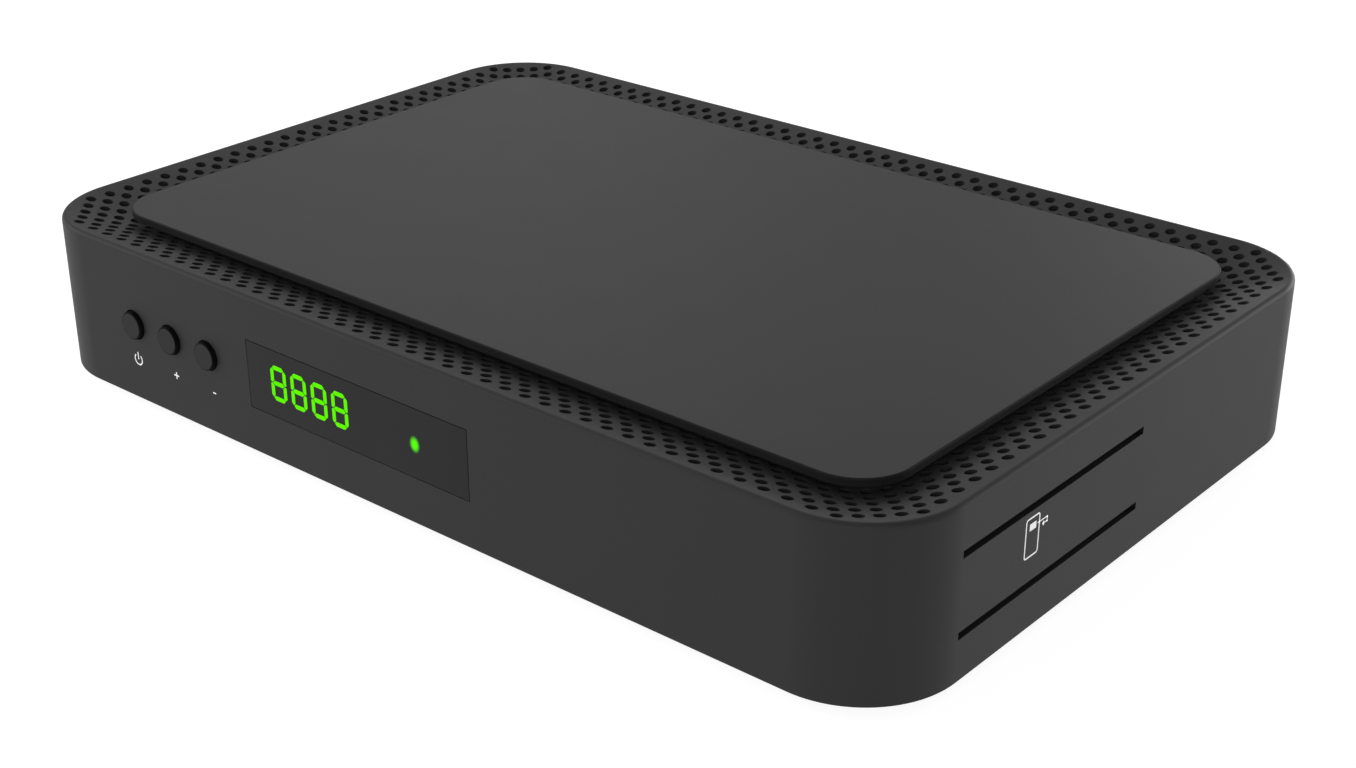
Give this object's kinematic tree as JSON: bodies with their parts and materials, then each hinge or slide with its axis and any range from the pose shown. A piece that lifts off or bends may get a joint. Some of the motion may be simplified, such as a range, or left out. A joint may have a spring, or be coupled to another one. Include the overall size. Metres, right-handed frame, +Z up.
{
  "type": "satellite tv receiver",
  "caption": "Flat moulded set-top receiver with a raised plate over a perforated sunken deck, front push buttons, a smoked digit window and side card slots.",
  "frame": {"origin": "bottom centre of the bounding box, at the underside of the feet", "axes": "+Z up, the front with the buttons and window faces -Y, +X to the right of the front, towards the card slots"},
  "size_m": [0.2208, 0.159, 0.0355],
  "materials": {
    "case_plastic": "fine satin texture",
    "plate_plastic": "smooth satin",
    "button_plastic": "fine satin",
    "smoked_window": "smoked, semi-gloss",
    "black_plastic": "matte",
    "digit_module": "matte",
    "led_lens": "clear green",
    "circuit_board": "solder mask",
    "chip_epoxy": "moulded epoxy",
    "reader_plastic": "matte",
    "capacitor_sleeve": "sleeve",
    "panel_steel": "matt black paint",
    "switch_steel": "stamped",
    "screw_steel": "zinc plated",
    "nickel_plate": "nickel plated",
    "spacer_brass": "turned",
    "heat_sink_aluminium": "extruded",
    "foot_rubber": "matte"
  },
  "bodies": {
    "receiver": {"upper_case": "case_plastic", "vent_deck": "case_plastic", "base_cover": "case_plastic", "top_plate": "plate_plastic", "rear_panel": "panel_steel", "display_window": "smoked_window", "power_switch": "switch_steel", "channel_up_switch": "switch_steel", "channel_down_switch": "switch_steel", "front_board": "circuit_board", "front_board_header": "black_plastic", "digit_display": "digit_module", "status_led": "led_lens", "infrared_receiver": "black_plastic", "main_board": "circuit_board", "foot_front_left": "foot_rubber", "foot_front_right": "foot_rubber", "foot_rear_left": "foot_rubber", "foot_rear_right": "foot_rubber", "lower_card_reader": "reader_plastic", "upper_card_reader": "reader_plastic", "riser_board": "circuit_board", "riser_connector": "black_plastic", "tuner_can": "nickel_plate", "lnb_input": "nickel_plate", "ethernet_jack": "black_plastic", "usb_socket": "nickel_plate", "hdmi_socket": "nickel_plate", "optical_output": "black_plastic", "av_jack": "black_plastic", "dc_inlet": "black_plastic", "system_chip": "chip_epoxy", "heat_sink": "heat_sink_aluminium", "memory_chip_left": "chip_epoxy", "memory_chip_right": "chip_epoxy", "flash_chip": "chip_epoxy", "capacitor_front": "capacitor_sleeve", "capacitor_middle": "capacitor_sleeve", "capacitor_rear": "capacitor_sleeve", "power_inductor": "chip_epoxy", "front_board_screw_1": "screw_steel", "front_board_screw_2": "screw_steel", "board_screw_1": "screw_steel", "case_screw_1": "screw_steel", "riser_spacer_1": "spacer_brass", "board_screw_2": "screw_steel", "case_screw_2": "screw_steel", "riser_spacer_2": "spacer_brass", "board_screw_3": "screw_steel", "case_screw_3": "screw_steel", "riser_spacer_3": "spacer_brass", "board_screw_4": "screw_steel", "case_screw_4": "screw_steel", "riser_spacer_4": "spacer_brass"},
    "power_key": {"power_button": "button_plastic", "power_plunger": "black_plastic"},
    "channel_up_key": {"channel_up_button": "button_plastic", "channel_up_plunger": "black_plastic"},
    "channel_down_key": {"channel_down_button": "button_plastic", "channel_down_plunger": "black_plastic"}
  },
  "joints": [
    {"name": "power_press", "type": "slide", "parent": "receiver", "child": "power_key", "axis": [0, 1, 0], "range_m": [0, 0.0005], "stiffness_N_per_m": 1000, "springref_m": -0.0006},
    {"name": "channel_up_press", "type": "slide", "parent": "receiver", "child": "channel_up_key", "axis": [0, 1, 0], "range_m": [0, 0.0005], "stiffness_N_per_m": 1000, "springref_m": -0.0006},
    {"name": "channel_down_press", "type": "slide", "parent": "receiver", "child": "channel_down_key", "axis": [0, 1, 0], "range_m": [0, 0.0005], "stiffness_N_per_m": 1000, "springref_m": -0.0006}
  ]
}
